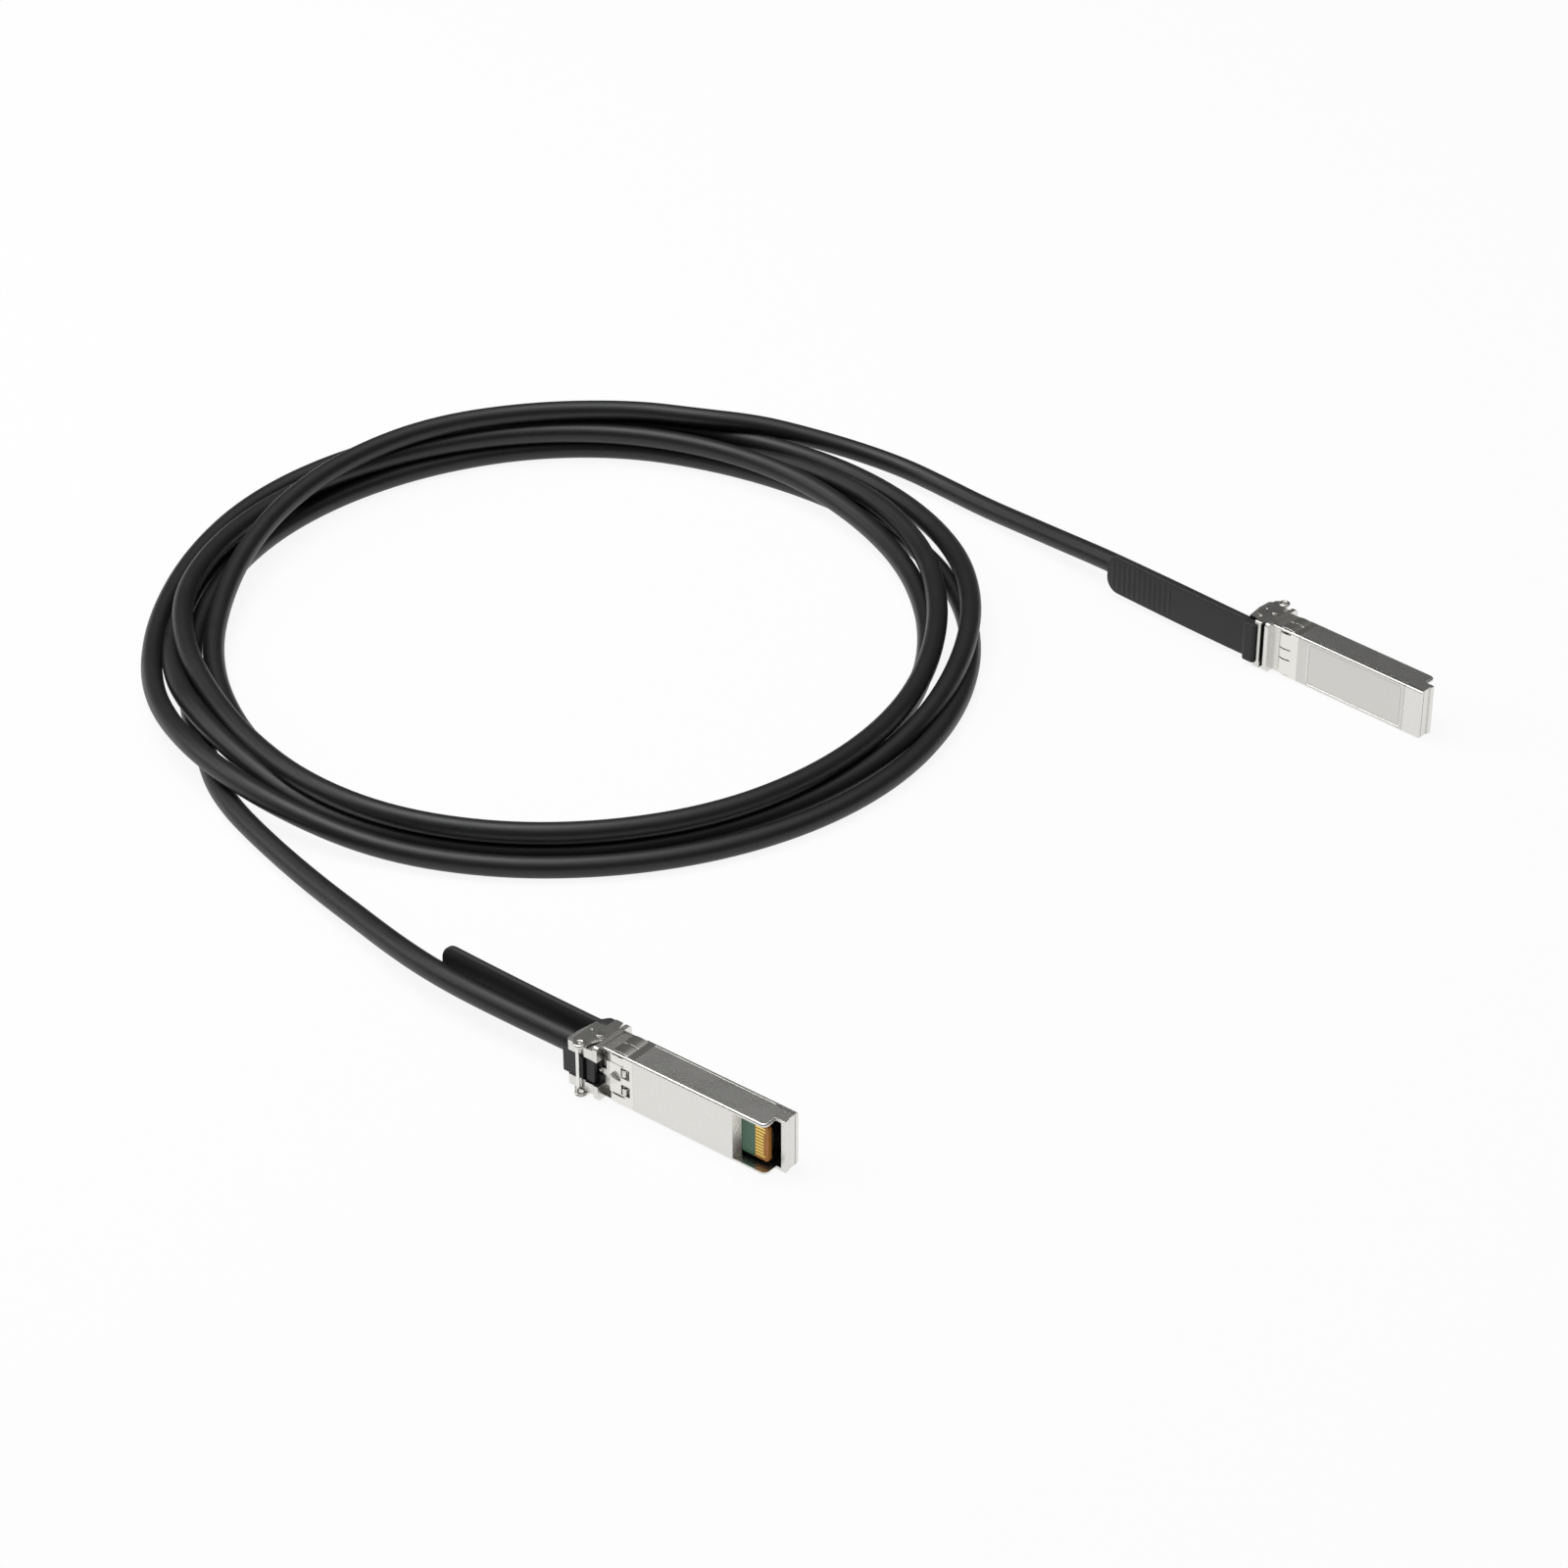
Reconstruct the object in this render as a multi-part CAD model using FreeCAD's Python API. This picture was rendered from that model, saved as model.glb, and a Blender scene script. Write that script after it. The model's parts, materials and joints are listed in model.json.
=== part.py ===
import FreeCAD, Part
import math
import os

from FreeCAD import Placement, Rotation, Vector

# A direct attach copper cable: two identical pull-release plugs joined by one shielded twin-pair cable.
#
# Each plug is built once, in its own frame, and placed twice:
#   x = 0 at the bezel stop (front face of the flange), x grows towards the tip
#   -y is the latch face, +y is the label face, z runs across the plug's width, z = 0 is its middle
# The row frame is plug A's frame. The cable and both plugs rest on the plane z = -FLANGE_WIDTH / 2.

os.makedirs("parts", exist_ok=True)

# ---------------------------------------------------------------- driving sizes, mm

# die-cast housing
PLUG_LENGTH = 48.1          # bezel stop to tip
BODY_WIDTH = 13.4
BODY_DEPTH = 8.5            # latch face to label face
SIDE_WALL = 0.75
LATCH_WALL = 0.9
EDGE_ROUND = 0.5
NOSE_SETBACK = 2.5          # the latch half stops this far behind the tip
NOSE_ROUND = 1.4
TIP_DEPTH = 4.65            # depth of the closed label half at the tip
TIP_WALL = 1.2
TIP_BAR = 1.3               # proud bar along the latch side of the tip's end face
TIP_STEP = 0.3
TIP_FILLET = 1.5
MOUTH_START = 36.6          # rear edge of the connector mouth in the latch face
MOUTH_SLOPE = 0.9           # the mouth's rear wall leans forward by this much down to the card
BULKHEAD = 1.5
CAVITY_START = 10.5
FLANGE_THICK = 1.2
FLANGE_MARGIN = 0.3         # flange beyond the lever's plates, each side
FLANGE_LATCH_RISE = 1.75    # flange beyond the latch face
FLANGE_LABEL_RISE = 1.5     # flange beyond the label face
FLANGE_ROUND = 0.9
FLANGE_DIMPLE = 0.3
LATCH_GAP = 6.6             # width of the notch between the cheeks, in the flange's latch side
CHEEK_REAR = 8.9            # cheeks reach this far behind the bezel stop
CHEEK_LATCH_EDGE = -5.9
CHEEK_LABEL_EDGE = 3.3

# cover plate
COVER_THICK = 1.0
COVER_END = 42.6
COVER_EDGE_ROUND = 0.15
COVER_TONGUE_START = 5.2    # its rear tongue lies under the spring band
LABEL_RECESS = 0.15
LABEL_MARGIN = 0.9
LABEL_START = 12.0
FIT_GAP = 0.05              # between fixed pieces of the plug

# stamped shielding spring
SPRING_SHEET = 0.2
SPRING_SEAM = 8.7           # front edge of the band
SPRING_BAND_START = 6.2
FINGER_END = 2.6            # free ends of the fingers
SIDE_FINGER_RISE = 0.27
FACE_FINGER_RISE = 0.45
CORNER_FINGER_RISE = 0.2
FINGER_SLOT = 0.35
CORNER_FINGER = 1.95
LATCH_SHEET_START = 2.1     # flat middle part of the spring on the latch face
LATCH_SHEET_WIDTH = 7.8

# latch boss and lifter
BOSS_START = 3.0
BOSS_LENGTH = 2.1
BOSS_WIDTH = 2.6
BOSS_RISE = 0.9             # beyond the latch face
LIFTER_SHEET = 0.3
LIFTER_STEM = 1.6
LIFTER_REACH = 3.3          # outer edge of each fork arm, from the middle
LIFTER_BRIDGE = 1.2
LIFTER_TIP_START = 6.0
LIFTER_TIP_LENGTH = 0.8
LIFTER_TIP_RISE = 0.35      # tips beyond the latch face
LIFTER_TRAVEL = 0.7
SLIDER_FACE = -5.4          # latch-side face of the black slider
SLIDER_FOOT = -4.4
SLIDER_FRONT = -1.35
SLIDER_LIP = 0.4            # thickness of the lip that the wire pushes
SLIDER_LIP_TOP = -6.1
SLIDER_GROOVE = 0.5
MOVING_GAP = 0.3            # between pieces that move past each other

# release lever, its pivots and its wire
LEVER_SHEET = 0.6
LEVER_WEB_Y = 5.2           # inner face of the web that crosses the label side
PIVOT_X = -3.2
PIVOT_Y = -0.9
PIVOT_RADIUS = 0.6
PIVOT_HEAD_RADIUS = 0.95
PIVOT_HEAD = 0.25
RUNNING_GAP = 0.05          # radial, pivot in lever
WIRE_X = -5.3
WIRE_Y = -6.3
WIRE_RADIUS = 0.45
EYE_X = -4.6
EYE_Y = -6.25
EYE_RADIUS = 1.35
EYE_HOLE = 0.6
EYE_RIM = 0.34              # radius of the rolled rim round the eye
EYE_RIM_SINK = 0.08

# pull strap
STRAP_WIDTH = 9.5
STRAP_THICK = 1.0
STRAP_GRIP_THICK = 1.5
STRAP_LENGTH = 53.0
STRAP_BOW = 1.6             # how far the free end stands off the plug's line
STRAP_END_ROUND = 3.6
RIB_PITCH = 1.8
RIB_COUNT = 11
RIB_HEIGHT = 0.3

# cable and what it ends in
CABLE_DIAMETER = 5.5
CABLE_Y = 0.6               # axis of the cable, towards the label face
BOOT_REAR = 10.5
BOOT_FACE = -5.5
BOOT_NOSE = 0.9             # how far the boot's nose reaches past the flange's rear face
FERRULE_RADIUS = 2.3
FERRULE_WALL = 0.35
FERRULE_LENGTH = 6.4
PAIR_RADIUS = 0.62

# paddle card
CARD_THICK = 1.0
CARD_RISE = 2.25            # latch face of the plug to the card
CARD_START = 14.0
CARD_END = 44.8
CARD_SIDE_GAP = 0.35        # card to each side wall
TONGUE_WIDTH = 9.2
TONGUE_SHOULDER = 0.8
TONGUE_CHAMFER = 0.5
TONGUE_START = 37.0
PAD_COUNT = 10
PAD_PITCH = 0.8
PAD_WIDTH = 0.55
PAD_REAR = 41.25
PAD_FRONT_MARGIN = 0.95
LONG_PAD_FRONT_MARGIN = 0.35
LONG_PADS = (0, 8, 9)
PAD_THICK = 0.04
CHIP_START = 24.0
CHIP_LENGTH = 3.0
CHIP_WIDTH = 3.9
CHIP_HEIGHT = 0.9
CAPACITOR_START = 32.0
CAPACITOR_LENGTH = 1.0
CAPACITOR_SIDE = 0.5
CAPACITOR_PITCH = 1.1
CAPACITOR_COUNT = 8

# where plug B lies, in plug A's frame, and how the cable is coiled
PLUG_B_X = 12.5
PLUG_B_Y = 246.0
PLUG_B_TURN = -6.4          # degrees about the vertical
COIL_X = -135.4
COIL_Y = 136.7
COIL_INNER = 90.0
COIL_OUTER = 112.0
COIL_HEIGHT = 13.5
COIL_ROUND = 4.0

# ---------------------------------------------------------------- sizes that follow

LEVER_WIDTH = BODY_WIDTH      # the lever's plates lie flush with the body's narrow sides
FLANGE_WIDTH = LEVER_WIDTH + 2 * FLANGE_MARGIN
FLOOR_Z = -FLANGE_WIDTH / 2
HALF_DEPTH = BODY_DEPTH / 2
HALF_WIDTH = BODY_WIDTH / 2
CABLE_RADIUS = CABLE_DIAMETER / 2
LATCH_FACE = -HALF_DEPTH
LABEL_FACE = HALF_DEPTH
INNER_WIDTH = BODY_WIDTH - 2 * SIDE_WALL
NECK_DEPTH = BODY_DEPTH - 2 * SPRING_SHEET
NECK_WIDTH = BODY_WIDTH - 2 * SPRING_SHEET
COVER_UNDERSIDE = LABEL_FACE - COVER_THICK
CAVITY_FLOOR = LATCH_FACE + LATCH_WALL
CHEEK_INNER = LATCH_GAP / 2
CARD_LATCH_SIDE = LATCH_FACE + CARD_RISE
CARD_LABEL_SIDE = CARD_LATCH_SIDE + CARD_THICK
LEVER_INNER = LEVER_WIDTH / 2 - LEVER_SHEET
CHEEK_OUTER = LEVER_INNER - MOVING_GAP
PIVOT_DEPTH = 0.76 * (CHEEK_OUTER - CHEEK_INNER)
CARD_WIDTH = INNER_WIDTH - 2 * CARD_SIDE_GAP
LIFTER_OUTER_FACE = -NECK_DEPTH / 2 + MOVING_GAP
LIFTER_INNER_FACE = LIFTER_OUTER_FACE + LIFTER_SHEET
POCKET_FLOOR = LIFTER_INNER_FACE + MOVING_GAP
STRAP_INNER_FACE = CABLE_Y + CABLE_RADIUS + MOVING_GAP + 0.05
GROOVE_REAR = WIRE_X - WIRE_RADIUS - MOVING_GAP
GROOVE_FRONT = WIRE_X + WIRE_RADIUS + LIFTER_TRAVEL + MOVING_GAP
SLIDER_REAR = WIRE_X + WIRE_RADIUS + MOVING_GAP
LIFTER_TIP_END = LIFTER_TIP_START + LIFTER_TIP_LENGTH
LIFTER_SLOT = (LIFTER_TIP_START - LIFTER_TRAVEL, LIFTER_TIP_END + LIFTER_TRAVEL + MOVING_GAP)


# ---------------------------------------------------------------- helpers

def box(x, y, z):
    """A box from three (low, high) pairs."""
    return Part.makeBox(x[1] - x[0], y[1] - y[0], z[1] - z[0], Vector(x[0], y[0], z[0]))


def span(width):
    """A (low, high) pair centred on zero."""
    return (-width / 2, width / 2)


def prism(points, z):
    """A polygon in the x-y plane, raised between two heights."""
    wire = Part.makePolygon([Vector(px, py, z[0]) for px, py in points + points[:1]])
    return Part.Face(wire).extrude(Vector(0, 0, z[1] - z[0]))


def post(x, y, radius, z):
    """A round post along z."""
    return Part.makeCylinder(radius, z[1] - z[0], Vector(x, y, z[0]), Vector(0, 0, 1))


def bar_along_x(x, y, radius):
    """A round bar along x, centred on z = 0."""
    return Part.makeCylinder(radius, x[1] - x[0], Vector(x[0], y, 0), Vector(1, 0, 0))


def both_sides(shape):
    """The shape and its mirror image across the plug's middle plane."""
    return [shape, shape.mirror(Vector(0, 0, 0), Vector(0, 0, 1))]


def edges_along(shape, direction, keep=lambda middle: True):
    """Straight edges parallel to a direction whose middle passes the test."""
    found = []
    for edge in shape.Edges:
        if not isinstance(edge.Curve, (Part.Line, Part.LineSegment)):
            continue
        along = edge.tangentAt(edge.FirstParameter)
        if abs(abs(along.dot(direction)) - 1) < 1e-6 and keep(edge.CenterOfMass):
            found.append(edge)
    return found


def rounded_box(x, y, z, radius):
    """A box whose four edges along x are rounded."""
    plain = box(x, y, z)
    return plain.makeFillet(radius, edges_along(plain, Vector(1, 0, 0)))


def joined(shapes):
    """One clean solid from overlapping shapes."""
    whole = shapes[0].fuse(shapes[1:])
    return whole.removeSplitter()


# ---------------------------------------------------------------- plug: housing and cover

def outer_form():
    """The plug's outside in front of the spring band: full depth, then the shallow tip with its bar."""
    nose = PLUG_LENGTH - NOSE_SETBACK
    bar_low = LABEL_FACE - TIP_DEPTH
    bend = NOSE_ROUND * (1 - math.sqrt(0.5))
    start = Vector(nose - NOSE_ROUND, LATCH_FACE)
    rounding = Part.Arc(start, Vector(nose - bend, LATCH_FACE + bend), Vector(nose, LATCH_FACE + NOSE_ROUND))
    corners = [Vector(nose, LATCH_FACE + NOSE_ROUND), Vector(nose, bar_low), Vector(PLUG_LENGTH, bar_low),
               Vector(PLUG_LENGTH, bar_low + TIP_BAR), Vector(PLUG_LENGTH - TIP_STEP, bar_low + TIP_BAR),
               Vector(PLUG_LENGTH - TIP_STEP, LABEL_FACE), Vector(SPRING_SEAM, LABEL_FACE),
               Vector(SPRING_SEAM, LATCH_FACE), start]
    straight = [Part.makeLine(p, q) for p, q in zip(corners, corners[1:])]
    form = Part.Face(Part.Wire([rounding.toShape()] + straight)).extrude(Vector(0, 0, BODY_WIDTH))
    form.translate(Vector(0, 0, -HALF_WIDTH))
    long_edges = edges_along(form, Vector(1, 0, 0), lambda m: abs(m.y) > HALF_DEPTH - 0.01)
    return form.makeFillet(EDGE_ROUND, long_edges)


def cover_room(gap):
    """The space that the cover fills, grown by a gap in front of it and under it."""
    return box((SPRING_SEAM - 1, COVER_END + gap), (COVER_UNDERSIDE - gap, LABEL_FACE + 1),
               span(BODY_WIDTH + 2))


def cover_tongue(gap):
    """The rear tongue of the cover, held down by the spring band."""
    return box((COVER_TONGUE_START - gap, SPRING_SEAM), (NECK_DEPTH / 2 - COVER_THICK, NECK_DEPTH / 2),
               span(NECK_WIDTH - 2 * SIDE_WALL + 2 * gap))


def cheeks():
    """Two walls behind the flange that flank the cable; they carry the lever and clear its wire."""
    notch_floor = WIRE_Y + WIRE_RADIUS + MOVING_GAP + 0.1
    root = -FLANGE_THICK / 2
    outline = [(root, CHEEK_LATCH_EDGE), (GROOVE_FRONT, CHEEK_LATCH_EDGE), (GROOVE_FRONT, notch_floor),
               (GROOVE_REAR, notch_floor), (GROOVE_REAR, CHEEK_LATCH_EDGE),
               (0.6 - CHEEK_REAR, CHEEK_LATCH_EDGE), (-CHEEK_REAR, 0.6 + CHEEK_LATCH_EDGE),
               (-CHEEK_REAR, -1.5), (0.9 - CHEEK_REAR, CHEEK_LABEL_EDGE), (root, CHEEK_LABEL_EDGE)]
    cheek = prism(outline, (CHEEK_INNER, CHEEK_OUTER))
    hole = post(PIVOT_X, PIVOT_Y, PIVOT_RADIUS, (CHEEK_OUTER - PIVOT_DEPTH, CHEEK_OUTER + 1))
    return both_sides(cheek.cut(hole))


def latch_boss():
    """The wedge that the cage's spring tab hooks over, ramped towards the tip."""
    half = BOSS_WIDTH / 2
    base = [Vector(BOSS_START, LATCH_FACE + 1, -half), Vector(BOSS_START, LATCH_FACE + 1, half),
            Vector(BOSS_START + BOSS_LENGTH, LATCH_FACE + 1, 0)]
    column = Part.Face(Part.makePolygon(base + base[:1])).extrude(Vector(0, -1 - BOSS_RISE, 0))
    top = LATCH_FACE - BOSS_RISE
    ramp = prism([(BOSS_START + 0.7, top - 0.1), (BOSS_START + BOSS_LENGTH + 0.1, top - 0.1),
                  (BOSS_START + BOSS_LENGTH + 0.1, LATCH_FACE - 0.3)], span(BOSS_WIDTH + 1))
    return column.cut(ramp)


def housing():
    """The die-cast base: a channel closed by the cover, with flange, cheeks, boss and connector mouth."""
    neck = rounded_box((-0.3, SPRING_SEAM + 1), span(NECK_DEPTH), span(NECK_WIDTH), EDGE_ROUND - 0.1)
    flange_y = (LATCH_FACE - FLANGE_LATCH_RISE, LABEL_FACE + FLANGE_LABEL_RISE)
    flange = rounded_box((-FLANGE_THICK, 0), flange_y, span(FLANGE_WIDTH), FLANGE_ROUND)
    solid = joined([outer_form(), neck, flange])

    inside = span(INNER_WIDTH)
    inner_end = PLUG_LENGTH - TIP_WALL
    card_floor = CARD_LATCH_SIDE - FIT_GAP
    cavity = box((CAVITY_START, MOUTH_START - BULKHEAD), (CAVITY_FLOOR, COVER_UNDERSIDE + 0.01), inside)
    card_room = box((CAVITY_START, inner_end), (card_floor, COVER_UNDERSIDE), inside)
    far_corner = edges_along(card_room, Vector(0, 0, 1), lambda m: m.x > inner_end - 0.01 and m.y > 0)
    card_room = card_room.makeFillet(TIP_FILLET, far_corner)
    slope_end = MOUTH_START + MOUTH_SLOPE
    outline = [(MOUTH_START, LATCH_FACE - 1), (MOUTH_START, LATCH_FACE), (slope_end, card_floor),
               (slope_end, card_floor + 0.1), (inner_end, card_floor + 0.1), (inner_end, LATCH_FACE - 1)]
    mouth = prism(outline, inside)
    cable_way = bar_along_x((-FLANGE_THICK - 1, CAVITY_START + 1), CABLE_Y, FERRULE_RADIUS + FIT_GAP)
    latch_notch = box((-FLANGE_THICK - 1, LATCH_SHEET_START), (LATCH_FACE - 3, POCKET_FLOOR),
                      span(LATCH_GAP))
    pocket = box((0, LIFTER_SLOT[1]), (LATCH_FACE - 3, POCKET_FLOOR), span(2 * (LIFTER_REACH + MOVING_GAP)))
    relief = box((0, FINGER_END - 0.4), (LATCH_FACE - 1, LATCH_FACE + 2.0), span(NECK_WIDTH - 0.6))
    dimple = bar_along_x((-0.5, 1), LATCH_FACE + 0.65, FLANGE_DIMPLE)
    dimple.translate(Vector(0, 0, CHEEK_INNER + 1.6))
    solid = solid.cut([cavity, card_room, mouth, cable_way, latch_notch, pocket, relief, cover_room(FIT_GAP),
                       cover_tongue(FIT_GAP)] + both_sides(dimple))

    ledge = box((CARD_START + 0.5, MOUTH_START - BULKHEAD), (CAVITY_FLOOR - 0.1, CARD_LATCH_SIDE),
                (CARD_WIDTH / 2 - 0.7, INNER_WIDTH / 2 + 0.1))
    island = box((BOSS_START, BOSS_START + BOSS_LENGTH + 0.3), (-NECK_DEPTH / 2, POCKET_FLOOR + 0.1),
                 span(BOSS_WIDTH))
    return joined([solid, island, latch_boss()] + cheeks() + both_sides(ledge))


def cover():
    """The flat label-side lid with its shallow recess, flush with the housing all round."""
    plate = outer_form().common(cover_room(0))
    lower = edges_along(plate, Vector(1, 0, 0), lambda m: m.y < COVER_UNDERSIDE + 0.01)
    plate = plate.makeFillet(COVER_EDGE_ROUND, lower)
    tongue = cover_tongue(0)
    neck_width = NECK_WIDTH - 2 * SIDE_WALL
    tongue = tongue.fuse(box((SPRING_SEAM - 0.1, SPRING_SEAM + 0.6), (COVER_UNDERSIDE, NECK_DEPTH / 2),
                             span(neck_width)))
    recess = box((LABEL_START, COVER_END - LABEL_MARGIN), (LABEL_FACE - LABEL_RECESS, LABEL_FACE + 1),
                 span(INNER_WIDTH - 0.2))
    return joined([plate.cut(recess), tongue])


# ---------------------------------------------------------------- plug: shielding spring

def finger(rise, width):
    """One leaf: it leaves the band flush, swells outwards and dips again at its free end (along +y)."""
    start = SPRING_BAND_START + 0.6
    crest = (FINGER_END + start) / 2 - 0.3
    outer = Part.Arc(Vector(start, 0), Vector(crest, rise), Vector(FINGER_END, 0.02)).toShape()
    inner = Part.Arc(Vector(FINGER_END, 0.02 - SPRING_SHEET), Vector(crest, rise - SPRING_SHEET),
                     Vector(start, -SPRING_SHEET)).toShape()
    ends = [Part.makeLine(Vector(FINGER_END, 0.02), Vector(FINGER_END, 0.02 - SPRING_SHEET)),
            Part.makeLine(Vector(start, -SPRING_SHEET), Vector(start, 0))]
    leaf = Part.Face(Part.Wire([outer, ends[0], inner, ends[1]])).extrude(Vector(0, 0, width))
    leaf.translate(Vector(0, 0, -width / 2))
    return leaf


def finger_row(rise, widths, face_offset, turn):
    """Leaves side by side on one face of the plug; turn is the face's angle about x."""
    total = sum(widths) + FINGER_SLOT * (len(widths) - 1)
    z = -total / 2
    leaves = []
    for width in widths:
        leaf = finger(rise, width)
        leaf.translate(Vector(0, face_offset, z + width / 2))
        leaf.rotate(Vector(0, 0, 0), Vector(1, 0, 0), turn)
        leaves.append(leaf)
        z += width + FINGER_SLOT
    return leaves


def shield_spring():
    """The wrapped sheet band with ground fingers on four faces and a slotted flat around the boss."""
    band = rounded_box((SPRING_BAND_START, SPRING_SEAM), span(BODY_DEPTH), span(BODY_WIDTH), EDGE_ROUND)
    hollow = rounded_box((SPRING_BAND_START - 1, SPRING_SEAM + 1), span(NECK_DEPTH), span(NECK_WIDTH),
                         EDGE_ROUND - 0.1)
    flat = box((LATCH_SHEET_START, SPRING_SEAM - 0.5), (LATCH_FACE, LATCH_FACE + SPRING_SHEET),
               span(LATCH_SHEET_WIDTH))
    side = finger_row(SIDE_FINGER_RISE, [3.3, 3.3], HALF_WIDTH, 90)
    other_side = finger_row(SIDE_FINGER_RISE, [3.3, 3.3], HALF_WIDTH, -90)
    label = finger_row(FACE_FINGER_RISE, [4.1, 2.6, 4.1], HALF_DEPTH, 0)
    corner = finger(CORNER_FINGER_RISE, CORNER_FINGER)
    corner.rotate(Vector(0, 0, 0), Vector(1, 0, 0), 180)
    corner.translate(Vector(0, LATCH_FACE, LATCH_SHEET_WIDTH / 2 + FINGER_SLOT + CORNER_FINGER / 2))
    ring = joined([band.cut(hollow), flat] + side + other_side + label + both_sides(corner))

    clear = 0.15
    half = BOSS_WIDTH / 2 + clear
    boss_hole = Part.Face(Part.makePolygon([
        Vector(BOSS_START - clear, LATCH_FACE - 1, -half), Vector(BOSS_START - clear, LATCH_FACE - 1, half),
        Vector(BOSS_START + BOSS_LENGTH + 2 * clear, LATCH_FACE - 1, 0),
        Vector(BOSS_START - clear, LATCH_FACE - 1, -half)])).extrude(Vector(0, 2, 0))
    slot = box(LIFTER_SLOT, (LATCH_FACE - 1, LATCH_FACE + 0.5),
               (BOSS_WIDTH / 2 - 0.4, LIFTER_REACH + MOVING_GAP))
    return ring.cut([boss_hole] + both_sides(slot))


# ---------------------------------------------------------------- plug: release mechanism

def lifter():
    """The stamped fork that slides forward and wedges the cage's tab off the boss."""
    y = (LIFTER_OUTER_FACE, LIFTER_INNER_FACE)
    tail = (SLIDER_FRONT - 1.3, SLIDER_FRONT - 1.3 + LIFTER_SHEET)
    fork_end = BOSS_START - MOVING_GAP - LIFTER_TRAVEL
    fork_start = fork_end - LIFTER_BRIDGE
    arm_z = (BOSS_WIDTH / 2 + MOVING_GAP, LIFTER_REACH)
    tail_tab = box(tail, (SLIDER_FACE + 0.3, y[1]), span(LIFTER_STEM))
    stem = box((tail[0], fork_start + 0.2), y, span(LIFTER_STEM))
    bead = Part.makeSphere(0.42, Vector(SLIDER_FRONT + 0.45, y[0], 0))
    bridge = box((fork_start, fork_end), y, span(2 * LIFTER_REACH - 0.6))
    arm = box((fork_start, LIFTER_TIP_END), y, arm_z)
    crest = LATCH_FACE - LIFTER_TIP_RISE
    wedge = prism([(LIFTER_TIP_START, y[1]), (LIFTER_TIP_END, y[1]), (LIFTER_TIP_END, LATCH_FACE + 0.1),
                   (LIFTER_TIP_END - 0.3, crest), (LIFTER_TIP_START, crest)], arm_z)
    bead = bead.cut(box((-2, 2), (y[1], 0), span(2)))
    return joined([tail_tab, stem, bead, bridge] + both_sides(arm) + both_sides(wedge))


def slider_bar():
    """The black slider on the lifter's tail: a lip that the wire pushes, a groove, then a flat face."""
    lip_front = SLIDER_REAR + SLIDER_LIP
    groove_front = lip_front + SLIDER_GROOVE
    groove_floor = SLIDER_FACE + SLIDER_GROOVE
    outline = [(SLIDER_REAR, SLIDER_FOOT), (SLIDER_REAR, SLIDER_LIP_TOP), (lip_front, SLIDER_LIP_TOP),
               (lip_front, groove_floor), (groove_front, groove_floor), (groove_front, SLIDER_FACE),
               (SLIDER_FRONT, SLIDER_FACE), (SLIDER_FRONT, SLIDER_FOOT)]
    block = prism(outline, span(LATCH_GAP - 2 * MOVING_GAP))
    block = block.makeFillet(0.15, edges_along(block, Vector(0, 0, 1), lambda m: m.y < SLIDER_FACE + 0.1))
    return block.cut(lifter())


def lever():
    """The stamped saddle: a web across the label side and a plate down each narrow side, with wire eyes."""
    plate_z = (LEVER_INNER, LEVER_WIDTH / 2)
    web_top = LEVER_WEB_Y + LEVER_SHEET
    outline = [(-7.0, 1.8), (-5.6, 2.4), (-4.5, 2.5), (-4.3, web_top), (-2.4, web_top), (-1.6, 3.6),
               (-1.6, -1.2), (-2.3, -2.6), (-3.0, -4.2), (-3.1, -5.8), (-4.2, -6.8), (-5.7, -7.0),
               (-7.1, -5.5)]
    plate = prism(outline, plate_z)
    plate = plate.makeFillet(0.35, edges_along(plate, Vector(0, 0, 1)))
    rim_centre = Vector(EYE_X, EYE_Y, LEVER_WIDTH / 2 - EYE_RIM_SINK)
    rim = Part.makeTorus(EYE_HOLE + EYE_RIM, EYE_RIM, rim_centre, Vector(0, 0, 1))
    plate = plate.fuse([post(EYE_X, EYE_Y, EYE_RADIUS, plate_z), rim])
    plate = plate.cut([post(EYE_X, EYE_Y, EYE_HOLE, (0, LEVER_WIDTH)),
                       post(PIVOT_X, PIVOT_Y, PIVOT_RADIUS + RUNNING_GAP, (0, LEVER_WIDTH)),
                       post(-6.1, -0.8, 0.45, (LEVER_WIDTH / 2 - 0.2, LEVER_WIDTH))])
    tab = box((-4.3, -2.4), (LEVER_WEB_Y, web_top), (STRAP_WIDTH / 2 + 0.3, LEVER_WIDTH / 2))
    web = box((-3.4, -2.4), (LEVER_WEB_Y, web_top), span(LEVER_WIDTH))
    saddle = joined([web] + both_sides(plate) + both_sides(tab))
    bends = edges_along(saddle, Vector(1, 0, 0),
                        lambda m: m.y > web_top - 0.01 and abs(m.z) > LEVER_WIDTH / 2 - 0.01)
    return saddle.makeFillet(0.4, bends)


def latch_wire():
    """The round wire staked between the lever's two side plates."""
    return post(WIRE_X, WIRE_Y, WIRE_RADIUS, span(2 * LEVER_INNER))


def pivot_rivets():
    """Two rivets through the lever's plates into the cheeks, on one axis."""
    top = LEVER_WIDTH / 2 + 0.02
    shank = post(PIVOT_X, PIVOT_Y, PIVOT_RADIUS, (CHEEK_OUTER - PIVOT_DEPTH, top + 0.05))
    head = post(PIVOT_X, PIVOT_Y, PIVOT_HEAD_RADIUS, (top, top + PIVOT_HEAD))
    rim = [edge for edge in head.Edges
           if isinstance(edge.Curve, Part.Circle) and edge.CenterOfMass.z > top + 0.1]
    return Part.makeCompound(both_sides(shank.fuse(head.makeFillet(0.15, rim)).removeSplitter()))


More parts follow.
